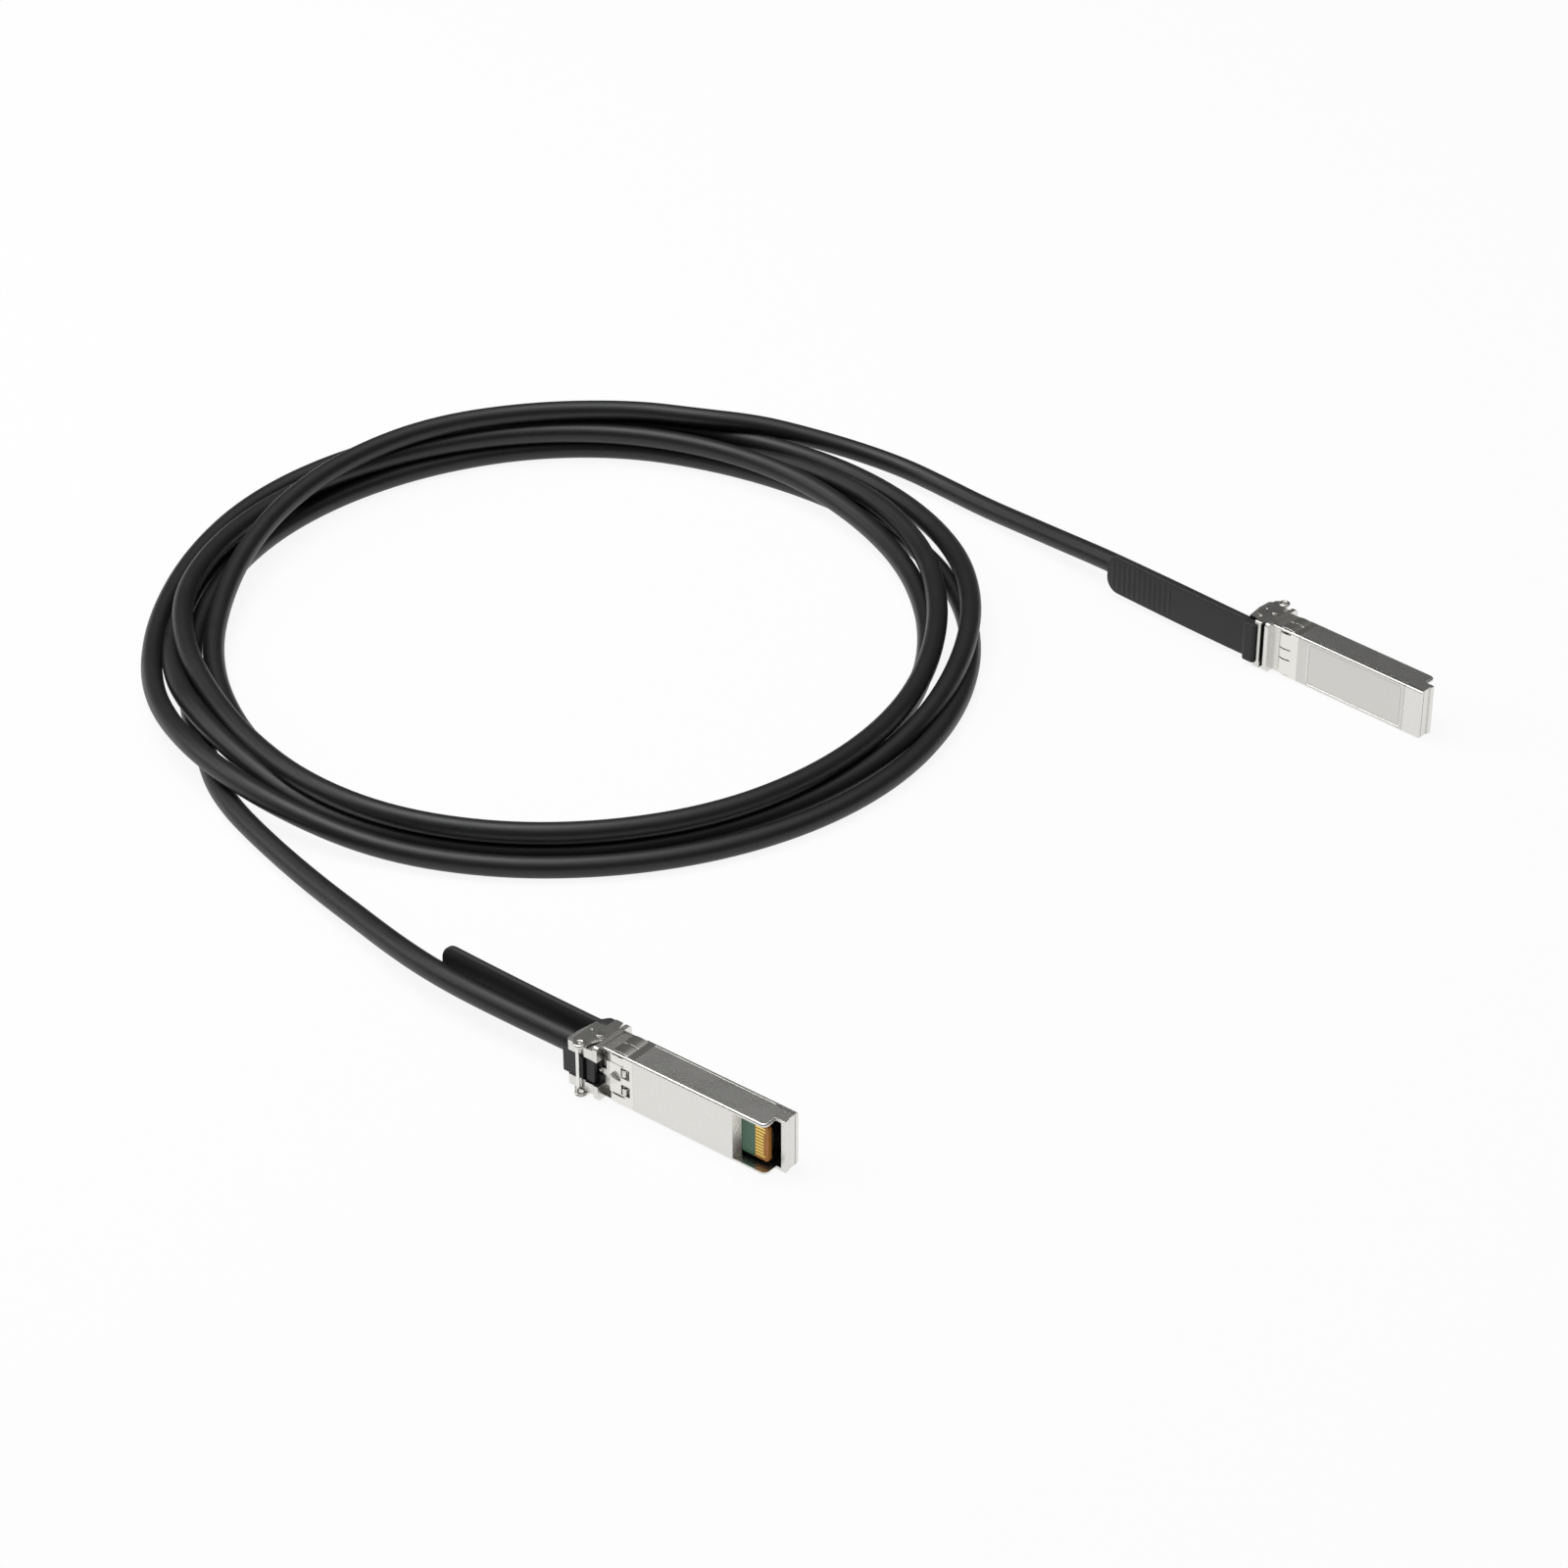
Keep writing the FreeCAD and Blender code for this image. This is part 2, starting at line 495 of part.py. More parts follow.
def pull_strap():
    """The moulded strap: a lip hooked over the lever's web, a flat run along the cable and a ribbed grip."""
    inner = STRAP_INNER_FACE
    thin = inner + STRAP_THICK
    thick = inner + STRAP_GRIP_THICK
    lip_front = -FLANGE_THICK - MOVING_GAP
    bow_start = -24.0
    end = lip_front - STRAP_LENGTH
    radius = ((bow_start - end) ** 2 + STRAP_BOW ** 2) / (2 * STRAP_BOW)

    def on_bow(x, offset):
        """A point of the bowed part, offset towards the label side."""
        angle = math.asin((bow_start - x) / radius)
        return Vector(bow_start - (radius - offset) * math.sin(angle),
                      inner + radius - (radius - offset) * math.cos(angle))

    def bow(offset):
        middle = on_bow((bow_start + end) / 2, offset)
        return Part.Arc(on_bow(bow_start, offset), middle, on_bow(end, offset))

    web_rear = -3.4 - 0.6
    lip_top = LEVER_WEB_Y + LEVER_SHEET - 0.1
    outside = [Vector(lip_front, inner), Vector(lip_front, lip_top), Vector(lip_front - 0.5, lip_top),
               Vector(lip_front - 0.5, thin), Vector(web_rear - 2.2, thin), Vector(web_rear - 3.2, thick),
               Vector(bow_start, thick)]
    edges = [Part.makeLine(outside[i], outside[i + 1]) for i in range(len(outside) - 1)]
    edges.append(bow(STRAP_GRIP_THICK).toShape())
    edges.append(Part.makeLine(on_bow(end, STRAP_GRIP_THICK), on_bow(end, 0)))
    edges.append(bow(0).toShape())
    edges.append(Part.makeLine(Vector(bow_start, inner), Vector(lip_front, inner)))
    strap = Part.Face(Part.Wire(Part.__sortEdges__(edges))).extrude(Vector(0, 0, STRAP_WIDTH))
    strap.translate(Vector(0, 0, -STRAP_WIDTH / 2))
    far = [edge for edge in strap.Edges
           if edge.CenterOfMass.x < end + 0.6 and abs(edge.CenterOfMass.z) > STRAP_WIDTH / 2 - 0.01
           and edge.Length < STRAP_GRIP_THICK + 0.2]
    strap = strap.makeFillet(STRAP_END_ROUND, far)

    ribs = []
    for i in range(RIB_COUNT):
        foot = on_bow(end + 2.2 + i * RIB_PITCH, STRAP_GRIP_THICK - 0.2)
        rib = box(span(0.7), (0, 0.2 + RIB_HEIGHT), span(STRAP_WIDTH - 1.6 if i > 1 else STRAP_WIDTH - 4.5))
        rib.rotate(Vector(0, 0, 0), Vector(0, 0, 1), -math.degrees((bow_start - foot.x) / radius))
        rib.translate(foot)
        ribs.append(rib)
    return joined([strap] + ribs)


# ---------------------------------------------------------------- plug: cable end and paddle card

def cable_boot():
    """The moulded saddle that the cable lies in, stepped down for the slider and channelled for its stem."""
    rear = -BOOT_REAR
    front = -FLANGE_THICK - FIT_GAP
    width = LATCH_GAP - 2 * FIT_GAP
    main_block = box((rear, front), (BOOT_FACE, CABLE_Y), span(width))
    step = SLIDER_FOOT + MOVING_GAP
    nose = box((front - 0.5, front + BOOT_NOSE), (step, POCKET_FLOOR - FIT_GAP), span(width))
    main_block = main_block.makeFillet(0.4, edges_along(main_block, Vector(0, 0, 1), lambda m: m.y < 0))
    block = joined([main_block, nose])
    trench = box((SLIDER_REAR - MOVING_GAP, front + 1), (BOOT_FACE - 1, step), span(width + 1))
    channel = box((SLIDER_REAR - MOVING_GAP, front + 1), (step - 1, POCKET_FLOOR),
                  span(LIFTER_STEM + 2 * MOVING_GAP))
    bed = bar_along_x((rear - 1, 1), CABLE_Y, CABLE_RADIUS)
    return block.cut([trench, channel, bed])


def crimp_ferrule():
    """The metal sleeve crimped over the folded braid, in the housing's cable way."""
    ring = bar_along_x((-FLANGE_THICK, FERRULE_LENGTH - FLANGE_THICK), CABLE_Y, FERRULE_RADIUS)
    return ring.cut(bar_along_x((-FLANGE_THICK - 1, FERRULE_LENGTH), CABLE_Y, FERRULE_RADIUS - FERRULE_WALL))


def twin_pairs():
    """Four insulated conductors that run from the ferrule to the card's rear pads."""
    start = -FLANGE_THICK
    straight_end = CAVITY_START + 0.5
    wires = []
    for z_card, y_core, z_core in ((-3.9, -0.8, -0.8), (-2.3, 0.8, -0.8), (2.3, 0.8, 0.8), (3.9, -0.8, 0.8)):
        near = Vector(straight_end, CABLE_Y + y_core, z_core)
        far = Vector(CARD_START + 1.6, CARD_LABEL_SIDE + PAIR_RADIUS, z_card)
        foot = Vector(start, near.y, near.z)
        first = Part.makeCylinder(PAIR_RADIUS, straight_end - start, foot, Vector(1, 0, 0))
        knee = Part.makeSphere(PAIR_RADIUS, near)
        slant = Part.makeCylinder(PAIR_RADIUS, (far - near).Length, near, far - near)
        wires.append(joined([first, knee, slant]).cut(card_blank()))
    return Part.makeCompound(wires)


def card_blank():
    """The space at and below the card, which the conductors end above."""
    return box((CARD_START, CARD_END), (CAVITY_FLOOR, CARD_LABEL_SIDE), span(CARD_WIDTH))


def paddle_card():
    """The printed board: wide on its ledges, then the narrow tongue with chamfered corners."""
    half, tongue = CARD_WIDTH / 2, TONGUE_WIDTH / 2
    shoulder, chamfer = TONGUE_START - TONGUE_SHOULDER, CARD_END - TONGUE_CHAMFER
    corner = tongue - TONGUE_CHAMFER
    outline = [(CARD_START, -half), (shoulder, -half), (TONGUE_START, -tongue), (chamfer, -tongue),
               (CARD_END, -corner), (CARD_END, corner), (chamfer, tongue), (TONGUE_START, tongue),
               (shoulder, half), (CARD_START, half)]
    wire = Part.makePolygon([Vector(x, CARD_LATCH_SIDE, z) for x, z in outline + outline[:1]])
    return Part.Face(wire).extrude(Vector(0, CARD_THICK, 0))


def contact_pads():
    """Gold pads on both faces of the tongue; the outermost ones reach further forward."""
    pads = []
    for i in range(PAD_COUNT):
        z = (i - (PAD_COUNT - 1) / 2) * PAD_PITCH
        front = CARD_END - (LONG_PAD_FRONT_MARGIN if i in LONG_PADS else PAD_FRONT_MARGIN)
        for y in (CARD_LATCH_SIDE - PAD_THICK, CARD_LABEL_SIDE):
            pads.append(box((PAD_REAR, front), (y, y + PAD_THICK), (z - PAD_WIDTH / 2, z + PAD_WIDTH / 2)))
    return Part.makeCompound(pads)


def memory_chip():
    """The small identification memory on the card's label side."""
    package = box((CHIP_START, CHIP_START + CHIP_LENGTH), (CARD_LABEL_SIDE, CARD_LABEL_SIDE + CHIP_HEIGHT),
                  span(CHIP_WIDTH))
    upper = edges_along(package, Vector(1, 0, 0), lambda m: m.y > CARD_LABEL_SIDE + CHIP_HEIGHT / 2)
    return package.makeFillet(0.1, upper)


def capacitors():
    """A row of coupling capacitors behind the tongue."""
    x = (CAPACITOR_START, CAPACITOR_START + CAPACITOR_LENGTH)
    y = (CARD_LABEL_SIDE, CARD_LABEL_SIDE + CAPACITOR_SIDE)
    row = []
    for i in range(CAPACITOR_COUNT):
        z = (i - (CAPACITOR_COUNT - 1) / 2) * CAPACITOR_PITCH
        row.append(box(x, y, (z - CAPACITOR_SIDE / 2, z + CAPACITOR_SIDE / 2)))
    return Part.makeCompound(row)


# ---------------------------------------------------------------- cable

def rounded_path(points):
    """Straight runs joined by tangent arcs; each arc is as large as its two runs allow."""
    edges = []
    radii = []
    start = points[0]
    for before, here, after in zip(points, points[1:], points[2:]):
        back = (before - here).normalize()
        ahead = (after - here).normalize()
        turn = math.pi - back.getAngle(ahead)
        cut = 0.45 * min((before - here).Length, (after - here).Length)
        radius = cut / math.tan(turn / 2)
        middle = (back + ahead).normalize() * (radius / math.cos(turn / 2) - radius) + here
        first, last = here + back * cut, here + ahead * cut
        edges.append(Part.LineSegment(start, first).toShape())
        edges.append(Part.Arc(first, middle, last).toShape())
        radii.append(radius)
        start = last
    edges.append(Part.LineSegment(start, points[-1]).toShape())
    return Part.Wire(edges), radii


def cable_tube(name, points):
    """A round tube along a rounded path, with its volume checked against section times length."""
    path, radii = rounded_path(points)
    ring = Part.Wire(Part.makeCircle(CABLE_RADIUS, points[0], points[1] - points[0]))
    tube = path.makePipeShell([ring], True, False)
    ideal = math.pi * CABLE_RADIUS ** 2 * path.Length
    print(name, "length %.1f" % path.Length, "least radius %.1f" % min(radii),
          "volume ratio %.4f" % (tube.Volume / ideal), "valid", tube.isValid())
    return tube


def cable_coil():
    """The loose coil's outer shape: a flat ring with rounded edges, lying on the floor."""
    ring = Part.makeCylinder(COIL_OUTER, COIL_HEIGHT, Vector(0, 0, FLOOR_Z))
    ring = ring.cut(Part.makeCylinder(COIL_INNER, COIL_HEIGHT, Vector(0, 0, FLOOR_Z)))
    ring = ring.makeFillet(COIL_ROUND, [edge for edge in ring.Edges if isinstance(edge.Curve, Part.Circle)])
    ring.translate(Vector(COIL_X, COIL_Y, 0))
    return ring


# ---------------------------------------------------------------- assembly

def plug_b_placement():
    """Plug B lies on its other narrow side, so its label face looks the way plug A's latch face does."""
    roll = Rotation(Vector(1, 0, 0), 180)
    turn = Rotation(Vector(0, 0, 1), PLUG_B_TURN)
    return Placement(Vector(PLUG_B_X, PLUG_B_Y, 0), turn.multiply(roll))


PLUG_PIECES = {
    "housing": housing,
    "cover": cover,
    "shield_spring": shield_spring,
    "latch_lifter": lifter,
    "slider_bar": slider_bar,
    "release_lever": lever,
    "latch_wire": latch_wire,
    "pivot_rivets": pivot_rivets,
    "pull_strap": pull_strap,
    "cable_boot": cable_boot,
    "crimp_ferrule": crimp_ferrule,
    "twin_pairs": twin_pairs,
    "paddle_card": paddle_card,
    "contact_pads": contact_pads,
    "memory_chip": memory_chip,
    "capacitors": capacitors,
}

# Routes in each plug's own frame, from the flange backwards; the last points lie inside the coil.
FLOOR_LINE = FLOOR_Z + CABLE_RADIUS
LEAD_A = [
    (-FLANGE_THICK, CABLE_Y, 0), (-15, CABLE_Y, 0.0), (-30, 0.8, 0.1), (-45, 1.2, 0.0), (-58, 2.4, -0.4),
    (-72, 5.3, -1.5), (-87, 9.0, -2.8), (-102, 12.8, -3.7),
    (-117, 16.9, FLOOR_LINE), (-131, 20.9, FLOOR_LINE),
    (-145, 25.6, FLOOR_LINE), (-158, 32.2, FLOOR_LINE), (-169, 40.5, FLOOR_LINE),
]
LEAD_B = [
    (-FLANGE_THICK, CABLE_Y, 0), (-16, CABLE_Y, 0.0), (-32, 0.5, 0.1), (-48, 0.1, -0.1), (-62, -0.9, -0.6),
    (-76, -2.1, -1.6), (-91, -3.3, -2.8), (-107, -3.9, -3.6), (-123, -4.6, -3.6), (-137, -3.6, -2.6),
    (-150, 0.8, -0.8), (-162, 8.0, 1.0), (-174, 16.4, 2.4), (-186, 27.0, 2.9),
]


def main():
    placements = {"plug_a_": Placement(), "plug_b_": plug_b_placement()}
    shapes = {}
    for piece, build in PLUG_PIECES.items():
        shape = build()
        for prefix, placement in placements.items():
            placed = shape.copy()
            placed.transformShape(placement.toMatrix(), True)
            shapes[prefix + piece] = placed

    in_b = plug_b_placement()
    in_b_points = [in_b.multVec(Vector(x, y, -z)) for x, y, z in LEAD_B]
    shapes["cable_lead_a"] = cable_tube("cable_lead_a", [Vector(*point) for point in LEAD_A])
    shapes["cable_lead_b"] = cable_tube("cable_lead_b", in_b_points)
    shapes["cable_coil"] = cable_coil()

    for name, shape in shapes.items():
        if not shape.isValid():
            print("not valid:", name)
        shape.exportStep("parts/" + name + ".step")
    print(len(shapes), "nodes")


main()
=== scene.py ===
import json
import math

import bmesh
import bpy
from mathutils import Matrix, Vector


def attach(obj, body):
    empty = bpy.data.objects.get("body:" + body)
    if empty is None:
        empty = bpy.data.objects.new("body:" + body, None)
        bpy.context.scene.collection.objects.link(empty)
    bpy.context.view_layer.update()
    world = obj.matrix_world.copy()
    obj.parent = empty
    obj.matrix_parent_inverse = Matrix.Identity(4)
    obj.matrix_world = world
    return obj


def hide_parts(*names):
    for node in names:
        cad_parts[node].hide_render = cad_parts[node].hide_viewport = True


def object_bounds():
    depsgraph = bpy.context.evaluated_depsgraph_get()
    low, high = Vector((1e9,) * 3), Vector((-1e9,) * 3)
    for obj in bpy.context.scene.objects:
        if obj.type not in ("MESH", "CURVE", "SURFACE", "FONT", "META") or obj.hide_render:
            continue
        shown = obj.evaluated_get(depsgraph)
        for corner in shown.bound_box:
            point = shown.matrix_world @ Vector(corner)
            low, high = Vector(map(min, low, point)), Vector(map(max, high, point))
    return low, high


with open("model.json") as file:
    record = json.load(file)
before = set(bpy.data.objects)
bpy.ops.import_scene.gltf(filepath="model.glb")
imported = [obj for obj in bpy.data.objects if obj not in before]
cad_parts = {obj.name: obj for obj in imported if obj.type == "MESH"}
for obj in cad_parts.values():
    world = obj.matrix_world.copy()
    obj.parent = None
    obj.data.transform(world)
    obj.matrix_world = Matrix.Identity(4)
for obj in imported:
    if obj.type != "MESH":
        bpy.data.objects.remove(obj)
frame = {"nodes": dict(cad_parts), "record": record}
cad_low, cad_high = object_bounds()
nodes = frame["nodes"]

MM = 0.001
PLUGS = ("a", "b")
FLOOR = cad_low.z

# Each plug's own frame: x grows towards the tip, -y is the latch face, z runs across the width.
PLUG_B_TURN = math.radians(-6.4)
PLUG_FRAME = {
    "a": Matrix.Identity(4),
    "b": Matrix.Translation((0.0125, 0.246, 0.0)) @ Matrix.Rotation(PLUG_B_TURN, 4, "Z")
         @ Matrix.Rotation(math.pi, 4, "X"),
}


# ---------------------------------------------------------------- camera
# Above and to the right of plug A, looking down across the whole coil.

camera = bpy.data.objects.new("camera", bpy.data.cameras.new("camera"))
bpy.context.scene.collection.objects.link(camera)
bpy.context.scene.camera = camera
camera.data.lens = 94.5
camera.data.sensor_width = 36.0
camera.location = (0.48643, -0.54413, 0.52918)
look = Vector((-0.05032, 0.12107, FLOOR)) - camera.location
camera.rotation_euler = look.to_track_quat("-Z", "Y").to_euler()
camera.data.clip_start = 0.05
camera.data.clip_end = 20.0


# ---------------------------------------------------------------- cable
# One length of cable from flange to flange: lead A, four and a half loose turns, lead B.
# The leads' points are in each plug's own frame, from the flange backwards.

CABLE_DIAMETER = 5.5 * MM
FLOOR_LINE = -4.25
LEAD_A = [
    (-1.2, 0.6, 0), (-15, 0.5, 0), (-30, 0.2, 0.1), (-45, 0.4, 0), (-58, 1.7, -0.4),
    (-72, 4.8, -1.5), (-87, 9.0, -2.8), (-102, 12.8, -3.7), (-117, 16.9, FLOOR_LINE),
    (-131, 20.9, FLOOR_LINE), (-145, 25.6, FLOOR_LINE), (-158, 32.2, FLOOR_LINE), (-169, 40.5, FLOOR_LINE),
]
LEAD_B = [
    (-1.2, 0.6, 0), (-16, 0.5, 0), (-32, 0.1, -0.1), (-48, -0.4, 0.1), (-62, -1.2, 0.6),
    (-76, -2.1, 1.6), (-91, -3.3, 2.8), (-107, -3.9, 3.6), (-123, -4.6, 3.6), (-137, -3.6, 2.6),
    (-150, 0.8, 0.8), (-162, 8.0, -1.9), (-174, 16.4, -4.6), (-186, 27.0, -6.1),
]

# The coil's turns: degrees wound since the cable joined the coil, then radius and height of its line
# above the floor, in mm. Between these places a loop spaces the points evenly.
COIL_CENTRE = Vector((-0.1355, 0.137, 0))
COIL_START = math.radians(256.9)
COIL_STEP = 15
TURNS = [
    (0, 105.3, 2.75), (13, 99.8, 2.75), (38, 95.4, 2.75), (83, 101.0, 2.75), (128, 107.4, 2.75),
    (161, 103.3, 2.75), (198, 104.3, 2.75), (218, 104.4, 2.75), (233, 104.5, 2.75), (263, 106.7, 2.75),
    (293, 107.3, 2.75), (308, 107.2, 2.75), (326, 107.6, 3.0), (350, 108.6, 8.3), (368, 107.7, 8.3),
    (385, 106.1, 4.4), (400, 106.0, 2.9), (420, 108.4, 4.6), (443, 111.4, 7.0), (488, 111.4, 8.3),
    (521, 112.7, 7.0), (558, 108.7, 7.0), (578, 103.9, 8.35), (623, 99.5, 2.75), (668, 100.9, 2.75),
    (690, 100.4, 2.75), (712, 98.8, 2.9), (723, 99.8, 8.2), (735, 100.6, 8.8), (744, 100.7, 6.4),
    (758, 100.8, 2.8), (803, 106.8, 2.75), (848, 113.0, 2.75), (866, 110.4, 2.75), (881, 107.3, 6.2),
    (895, 104.5, 8.5), (908, 102.0, 8.3), (923, 98.9, 7.4), (938, 94.9, 8.1), (983, 96.7, 7.6),
    (1000, 99.6, 8.1), (1028, 101.1, 8.25), (1045, 100.9, 8.25), (1060, 99.0, 8.2), (1073, 96.0, 8.1),
    (1088, 93.9, 8.1), (1103, 94.9, 8.3), (1112, 97.2, 8.6), (1122, 100.1, 8.5), (1163, 104.3, 7.9),
    (1208, 105.9, 8.25), (1241, 100.9, 7.5), (1255, 98.2, 5.8), (1278, 95.3, 3.6), (1298, 93.2, 2.75),
    (1343, 93.8, 2.75), (1388, 95.4, 2.75), (1433, 92.6, 2.75), (1450, 90.4, 2.9), (1478, 90.4, 5.0),
    (1491, 91.6, 6.4), (1517, 98.3, 11.2), (1545, 106.8, 13.6), (1568, 108.3, 13.8), (1583, 109.8, 13.8),
]


def along(stations, place):
    """Radius and height at a place between the stations, on a smooth curve through them."""
    last = len(stations) - 1
    i = max(k for k in range(last) if stations[k][0] <= place or k == 0)
    before, here, there, after = (stations[min(max(k, 0), last)] for k in (i - 1, i, i + 1, i + 2))
    run = there[0] - here[0]
    t = (place - here[0]) / run
    values = []
    for axis in (1, 2):
        slope_in = (there[axis] - before[axis]) / max(there[0] - before[0], 1) * run
        slope_out = (after[axis] - here[axis]) / max(after[0] - here[0], 1) * run
        values.append((2 * t ** 3 - 3 * t ** 2 + 1) * here[axis] + (t ** 3 - 2 * t ** 2 + t) * slope_in
                      + (3 * t ** 2 - 2 * t ** 3) * there[axis] + (t ** 3 - t ** 2) * slope_out)
    return values


def coil_points():
    """Points of the loose turns; the spline cuts inside them, so they stand that much further out."""
    spread = 1 / math.cos(math.radians(COIL_STEP / 2))
    points = []
    for place in range(0, TURNS[-1][0] + 1, COIL_STEP):
        radius, height = along(TURNS, place)
        angle = COIL_START - math.radians(place)
        offset = Vector((math.cos(angle), math.sin(angle), 0)) * radius * spread * MM
        points.append(COIL_CENTRE + offset + Vector((0, 0, FLOOR + max(height, 2.75) * MM)))
    return points


def nurbs(name, points, radius):
    """A round tube along one open smooth spline with these control points."""
    data = bpy.data.curves.new(name, "CURVE")
    data.dimensions = "3D"
    data.bevel_depth = 1.0
    data.bevel_resolution = 6
    data.resolution_u = 8
    data.use_fill_caps = True
    spline = data.splines.new("NURBS")
    spline.points.add(len(points) - 1)
    for control, point in zip(spline.points, points):
        control.co = (*point, 1.0)
        control.radius = radius
    spline.order_u = 3
    spline.use_endpoint_u = True
    made = bpy.data.objects.new(name, data)
    bpy.context.scene.collection.objects.link(made)
    return made


lead_a = [PLUG_FRAME["a"] @ (Vector(point) * MM) for point in LEAD_A]
lead_b = [PLUG_FRAME["b"] @ (Vector(point) * MM) for point in LEAD_B]
cable = nurbs("cable", lead_a + coil_points()[1:] + lead_b[::-1], CABLE_DIAMETER / 2)
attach(cable, "base")
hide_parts("cable_lead_a", "cable_coil", "cable_lead_b")


# ---------------------------------------------------------------- materials

def colour(code):
    """Linear RGBA from an sRGB hex code."""
    parts = [int(code[i:i + 2], 16) / 255 for i in (1, 3, 5)]
    return tuple(p / 12.92 if p <= 0.04045 else ((p + 0.055) / 1.055) ** 2.4 for p in parts) + (1.0,)


def add(material, kind, **settings):
    """A new node of the material; settings fill its properties and its input sockets."""
    node = material.node_tree.nodes.new("ShaderNode" + kind)
    for key, value in settings.items():
        if hasattr(node, key):
            setattr(node, key, value)
        else:
            socket = node.inputs[key.replace("_", " ")]
            if isinstance(value, bpy.types.NodeSocket):
                material.node_tree.links.new(value, socket)
            else:
                socket.default_value = value
    return node


def blank(name):
    """A material whose only node so far is its output, with the object's place as coordinates."""
    material = bpy.data.materials.new(name)
    material.use_nodes = True
    material.node_tree.nodes.clear()
    output = add(material, "OutputMaterial")
    place = add(material, "TexCoord").outputs["Object"]
    return material, output, place


def finish_of(material, output, base, rough, height=None, depth=0.0, edge=0.0, **sockets):
    """Joins colour, roughness, relief and softly rounded edges into one Principled shader."""
    shader = add(material, "BsdfPrincipled", Base_Color=base, Roughness=rough, **sockets)
    links = material.node_tree.links
    normal = None
    if edge:
        normal = add(material, "Bevel", samples=6, Radius=edge * MM).outputs["Normal"]
        links.new(normal, shader.inputs["Normal"])
    if height is not None:
        bump = add(material, "Bump", Height=height, Strength=1.0, Distance=depth)
        if normal is not None:
            links.new(normal, bump.inputs["Normal"])
        links.new(bump.outputs["Normal"], shader.inputs["Normal"])
    links.new(shader.outputs["BSDF"], output.inputs["Surface"])


def spread(material, value, low, high):
    """A 0..1 value mapped onto low..high."""
    return add(material, "MapRange", Value=value, To_Min=low, To_Max=high).outputs["Result"]


def metal(name, tint, rough, grain_mm, grain_depth, smudge=0.08, mottle=None, edge=0.12):
    """A plated or bare metal: fine grain in the relief, wider smudges in the gloss."""
    material, output, place = blank(name)
    fine = add(material, "TexNoise", Vector=place, Scale=1 / (grain_mm * MM), Detail=3.0, Roughness=0.6)
    wide = add(material, "TexNoise", Vector=place, Scale=1 / (4.0 * MM), Detail=4.0, Roughness=0.55)
    tone = add(material, "MixRGB", Fac=wide.outputs["Fac"], Color1=colour(tint), Color2=colour(mottle or tint))
    gloss = spread(material, wide.outputs["Fac"], rough - smudge, rough + smudge)
    finish_of(material, output, tone.outputs["Color"], gloss, fine.outputs["Fac"], grain_depth * MM, edge,
              Metallic=1.0)
    return material


def moulded(name, tint, rough, grain_mm, grain_depth, lift=None, edge=0.0):
    """A moulded plastic or rubber: pebbled relief and slightly uneven tone and gloss."""
    material, output, place = blank(name)
    pebble = add(material, "TexVoronoi", Vector=place, Scale=1 / (grain_mm * MM))
    wide = add(material, "TexNoise", Vector=place, Scale=1 / (6.0 * MM), Detail=3.0)
    tone = add(material, "MixRGB", Fac=wide.outputs["Fac"], Color1=colour(tint), Color2=colour(lift or tint))
    gloss = spread(material, wide.outputs["Fac"], rough - 0.05, rough + 0.07)
    finish_of(material, output, tone.outputs["Color"], gloss, pebble.outputs["Distance"], grain_depth * MM,
              edge)
    return material


def plug_place(material, place, plug):
    """The shader's coordinates in the plug's own frame, in mm, as three separate sockets."""
    back = PLUG_FRAME[plug].inverted()
    mapping = add(material, "Mapping", Vector=place)
    mapping.inputs["Scale"].default_value = (1 / MM, 1 / MM, 1 / MM)
    mapping.inputs["Rotation"].default_value = back.to_euler("XYZ")
    mapping.inputs["Location"].default_value = back.translation / MM
    return add(material, "SeparateXYZ", Vector=mapping.outputs["Vector"]).outputs


def math_node(material, operation, *values):
    """The result of one arithmetic step on sockets or numbers."""
    node = add(material, "Math", operation=operation)
    for socket, value in zip(node.inputs, values):
        if isinstance(value, bpy.types.NodeSocket):
            material.node_tree.links.new(value, socket)
        else:
            socket.default_value = value
    return node.outputs["Value"]


def board(plug):
    """Green solder mask that ends at the pads, where the bare laminate shows."""
    material, output, place = blank("solder_mask_on_laminate_" + plug)
    along_x = plug_place(material, place, plug)["X"]
    bare = math_node(material, "GREATER_THAN", along_x, MASK_END)
    cloud = add(material, "TexNoise", Vector=place, Scale=1 / (1.2 * MM), Detail=3.0)
    mask = add(material, "MixRGB", Fac=cloud.outputs["Fac"], Color1=colour("#3f6e50"), Color2=colour("#538062"))
    weave = add(material, "MixRGB", Fac=cloud.outputs["Fac"], Color1=colour("#b8742a"), Color2=colour("#c98638"))
    tone = add(material, "MixRGB", Fac=bare, Color1=mask.outputs["Color"], Color2=weave.outputs["Color"])
    gloss = spread(material, bare, 0.26, 0.5)
    finish_of(material, output, tone.outputs["Color"], gloss, cloud.outputs["Fac"], 0.003 * MM)
    return material


